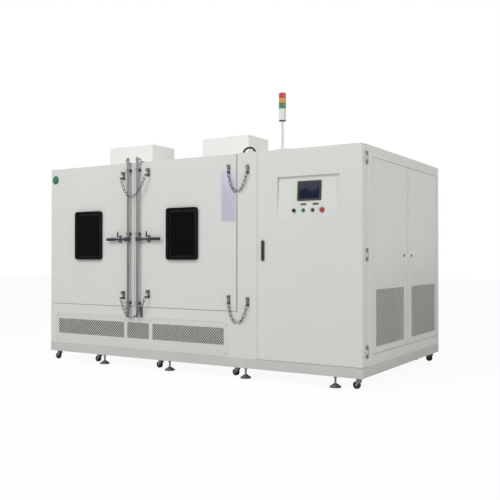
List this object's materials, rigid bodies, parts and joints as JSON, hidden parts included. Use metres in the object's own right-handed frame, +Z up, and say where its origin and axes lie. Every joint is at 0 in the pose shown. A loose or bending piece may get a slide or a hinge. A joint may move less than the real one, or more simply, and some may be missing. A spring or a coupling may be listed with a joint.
{
  "type": "walk-in environmental test chamber",
  "caption": "Free-standing insulated test chamber with hinged windowed doors, lock rods, restraint chains, a control cabinet, service doors, feet and casters.",
  "frame": {"origin": "on the floor under the middle of the whole object", "axes": "+Z up, the doors and control panel face -Y, +X to the viewer's right from the front"},
  "size_m": [3.7234, 2.1957, 2.638],
  "materials": {
    "frame_paint": "smooth light grey paint",
    "support_steel": "zinc plated steel",
    "body_paint": "light grey powder coat",
    "stainless": "brushed stainless sheet",
    "machine_paint": "black enamel",
    "tower_white": "white moulded plastic",
    "lens_green": "green translucent plastic",
    "lens_amber": "amber translucent plastic",
    "lens_red": "red translucent plastic",
    "black_rubber": "matt black hose",
    "dark_steel": "plated steel",
    "bright_steel": "bright plated steel",
    "black_glass": "dark sealed glass unit",
    "grey_rubber": "silicone seal",
    "black_plastic": "black moulded plastic",
    "screen_plastic": "black bezel with a dark display",
    "button_green": "green plastic",
    "button_red": "red plastic",
    "wheel_rubber": "black rubber tyre"
  },
  "bodies": {
    "chamber_body": {"plinth_frame": "frame_paint", "floor_supports": "support_steel", "lower_housing": "body_paint", "lower_grille_panel": "body_paint", "chamber_shell": "body_paint", "chamber_liner": "stainless", "air_baffle": "stainless", "refrigeration_set": "machine_paint", "cabinet_shell": "body_paint", "electrical_backplate": "machine_paint", "roof_boxes": "body_paint", "tower_stand": "tower_white", "tower_lens_green": "lens_green", "tower_lens_amber": "lens_amber", "tower_lens_red": "lens_red", "roof_hose": "black_rubber", "fixed_hinge_leaves": "dark_steel", "keepers_and_brackets": "dark_steel", "fixed_chains": "bright_steel"},
    "left_door": {"left_door_panel": "body_paint", "left_door_window": "black_glass", "left_door_gasket": "grey_rubber", "left_door_fittings": "dark_steel", "left_door_chains": "bright_steel"},
    "left_rod": {"left_lock_rod": "bright_steel", "left_lever_grip": "black_plastic"},
    "left_finger": {"left_catch_finger": "black_plastic"},
    "right_door": {"right_door_panel": "body_paint", "right_door_window": "black_glass", "right_door_gasket": "grey_rubber", "right_door_fittings": "dark_steel", "right_door_chains": "bright_steel"},
    "right_rod": {"right_lock_rod": "bright_steel", "right_lever_grip": "black_plastic"},
    "right_finger": {"right_catch_finger": "black_plastic"},
    "cabinet_door": {"cabinet_door": "body_paint", "touchscreen": "screen_plastic"},
    "cabinet_handle": {"cabinet_handle": "black_plastic"},
    "mode_selector": {"mode_selector": "black_plastic"},
    "start_button": {"start_button": "button_green"},
    "stop_button": {"stop_button": "button_red"},
    "emergency_stop": {"emergency_stop": "button_red"},
    "side_door_front": {"side_door_front": "body_paint"},
    "side_lock_front": {"side_lock_front": "black_plastic"},
    "side_door_rear": {"side_door_rear": "body_paint"},
    "side_lock_rear": {"side_lock_rear": "black_plastic"},
    "caster_1": {"caster_fork_1": "support_steel"},
    "wheel_1": {"caster_wheel_1": "wheel_rubber"},
    "caster_2": {"caster_fork_2": "support_steel"},
    "wheel_2": {"caster_wheel_2": "wheel_rubber"},
    "caster_3": {"caster_fork_3": "support_steel"},
    "wheel_3": {"caster_wheel_3": "wheel_rubber"},
    "caster_4": {"caster_fork_4": "support_steel"},
    "wheel_4": {"caster_wheel_4": "wheel_rubber"},
    "caster_5": {"caster_fork_5": "support_steel"},
    "wheel_5": {"caster_wheel_5": "wheel_rubber"},
    "caster_6": {"caster_fork_6": "support_steel"},
    "wheel_6": {"caster_wheel_6": "wheel_rubber"},
    "caster_7": {"caster_fork_7": "support_steel"},
    "wheel_7": {"caster_wheel_7": "wheel_rubber"}
  },
  "joints": [
    {"name": "left_door_hinge", "type": "hinge", "parent": "chamber_body", "child": "left_door", "pos_m": [-1.857, -0.922, 1.36], "axis": [0, 0, -1], "range_deg": [0, 100]},
    {"name": "right_door_hinge", "type": "hinge", "parent": "chamber_body", "child": "right_door", "pos_m": [0.5947, -1.0193, 1.36], "axis": [0, 0, 1], "range_deg": [0, 90]},
    {"name": "left_rod_turn", "type": "hinge", "parent": "left_door", "child": "left_rod", "pos_m": [-0.7103, -1.054, 1.312], "axis": [0, 0, 1], "range_deg": [0, 90]},
    {"name": "left_finger_turn", "type": "hinge", "parent": "left_door", "child": "left_finger", "pos_m": [-0.8383, -1.066, 1.338], "axis": [0, 1, 0], "range_deg": [0, 180]},
    {"name": "right_rod_turn", "type": "hinge", "parent": "right_door", "child": "right_rod", "pos_m": [-0.5863, -1.054, 1.312], "axis": [0, 0, -1], "range_deg": [0, 90]},
    {"name": "right_finger_turn", "type": "hinge", "parent": "right_door", "child": "right_finger", "pos_m": [-0.4583, -1.066, 1.338], "axis": [0, -1, 0], "range_deg": [0, 180]},
    {"name": "cabinet_door_hinge", "type": "hinge", "parent": "chamber_body", "child": "cabinet_door", "pos_m": [1.8547, -0.9305, 1.15], "axis": [0, 0, 1], "range_deg": [0, 110]},
    {"name": "cabinet_handle_turn", "type": "hinge", "parent": "cabinet_door", "child": "cabinet_handle", "pos_m": [0.8777, -1.037, 1.256], "axis": [0, -1, 0], "range_deg": [0, 90]},
    {"name": "mode_selector_turn", "type": "hinge", "parent": "cabinet_door", "child": "mode_selector", "pos_m": [1.1977, -1.01781, 1.543], "axis": [0, 0.9979, -0.0644], "range_deg": [-45, 45]},
    {"name": "start_button_press", "type": "slide", "parent": "cabinet_door", "child": "start_button", "axis": [0, 0.9979, -0.0644], "range_m": [0, 0.003], "stiffness_N_per_m": 900},
    {"name": "stop_button_press", "type": "slide", "parent": "cabinet_door", "child": "stop_button", "axis": [0, 0.9979, -0.0644], "range_m": [0, 0.003], "stiffness_N_per_m": 900},
    {"name": "emergency_stop_press", "type": "slide", "parent": "cabinet_door", "child": "emergency_stop", "axis": [0, 0.9979, -0.0644], "range_m": [0, 0.004], "stiffness_N_per_m": 900},
    {"name": "side_door_front_hinge", "type": "hinge", "parent": "chamber_body", "child": "side_door_front", "pos_m": [1.8417, -0.763, 1.142], "axis": [0, 0, -1], "range_deg": [0, 90]},
    {"name": "side_door_rear_hinge", "type": "hinge", "parent": "chamber_body", "child": "side_door_rear", "pos_m": [1.8417, 1.012, 1.142], "axis": [0, 0, 1], "range_deg": [0, 90]},
    {"name": "side_lock_front_turn", "type": "hinge", "parent": "side_door_front", "child": "side_lock_front", "pos_m": [1.8377, 0.011, 1.144], "axis": [1, 0, 0], "range_deg": [0, 90]},
    {"name": "side_lock_rear_turn", "type": "hinge", "parent": "side_door_rear", "child": "side_lock_rear", "pos_m": [1.8377, 0.221, 1.144], "axis": [-1, 0, 0], "range_deg": [0, 90]},
    {"name": "caster_1_swivel", "type": "hinge", "parent": "chamber_body", "child": "caster_1", "pos_m": [-1.7923, -0.947, 0.085], "axis": [0, 0, 1], "continuous": true},
    {"name": "wheel_1_roll", "type": "hinge", "parent": "caster_1", "child": "wheel_1", "pos_m": [-1.8123, -0.947, 0.034], "axis": [0, 1, 0], "continuous": true},
    {"name": "caster_2_swivel", "type": "hinge", "parent": "chamber_body", "child": "caster_2", "pos_m": [-1.2473, -0.892, 0.085], "axis": [0, 0, 1], "continuous": true},
    {"name": "wheel_2_roll", "type": "hinge", "parent": "caster_2", "child": "wheel_2", "pos_m": [-1.2673, -0.892, 0.034], "axis": [0, 1, 0], "continuous": true},
    {"name": "caster_3_swivel", "type": "hinge", "parent": "chamber_body", "child": "caster_3", "pos_m": [-0.4033, -0.892, 0.085], "axis": [0, 0, 1], "continuous": true},
    {"name": "wheel_3_roll", "type": "hinge", "parent": "caster_3", "child": "wheel_3", "pos_m": [-0.4233, -0.892, 0.034], "axis": [0, 1, 0], "continuous": true},
    {"name": "caster_4_swivel", "type": "hinge", "parent": "chamber_body", "child": "caster_4", "pos_m": [0.5227, -0.892, 0.085], "axis": [0, 0, 1], "continuous": true},
    {"name": "wheel_4_roll", "type": "hinge", "parent": "caster_4", "child": "wheel_4", "pos_m": [0.5027, -0.892, 0.034], "axis": [0, 1, 0], "continuous": true},
    {"name": "caster_5_swivel", "type": "hinge", "parent": "chamber_body", "child": "caster_5", "pos_m": [1.7877, -0.947, 0.085], "axis": [0, 0, 1], "continuous": true},
    {"name": "wheel_5_roll", "type": "hinge", "parent": "caster_5", "child": "wheel_5", "pos_m": [1.7677, -0.947, 0.034], "axis": [0, 1, 0], "continuous": true},
    {"name": "caster_6_swivel", "type": "hinge", "parent": "chamber_body", "child": "caster_6", "pos_m": [1.7877, 1.023, 0.085], "axis": [0, 0, 1], "continuous": true},
    {"name": "wheel_6_roll", "type": "hinge", "parent": "caster_6", "child": "wheel_6", "pos_m": [1.7677, 1.023, 0.034], "axis": [0, 1, 0], "continuous": true},
    {"name": "caster_7_swivel", "type": "hinge", "parent": "chamber_body", "child": "caster_7", "pos_m": [-1.7923, 1.023, 0.085], "axis": [0, 0, 1], "continuous": true},
    {"name": "wheel_7_roll", "type": "hinge", "parent": "caster_7", "child": "wheel_7", "pos_m": [-1.8123, 1.023, 0.034], "axis": [0, 1, 0], "continuous": true}
  ]
}
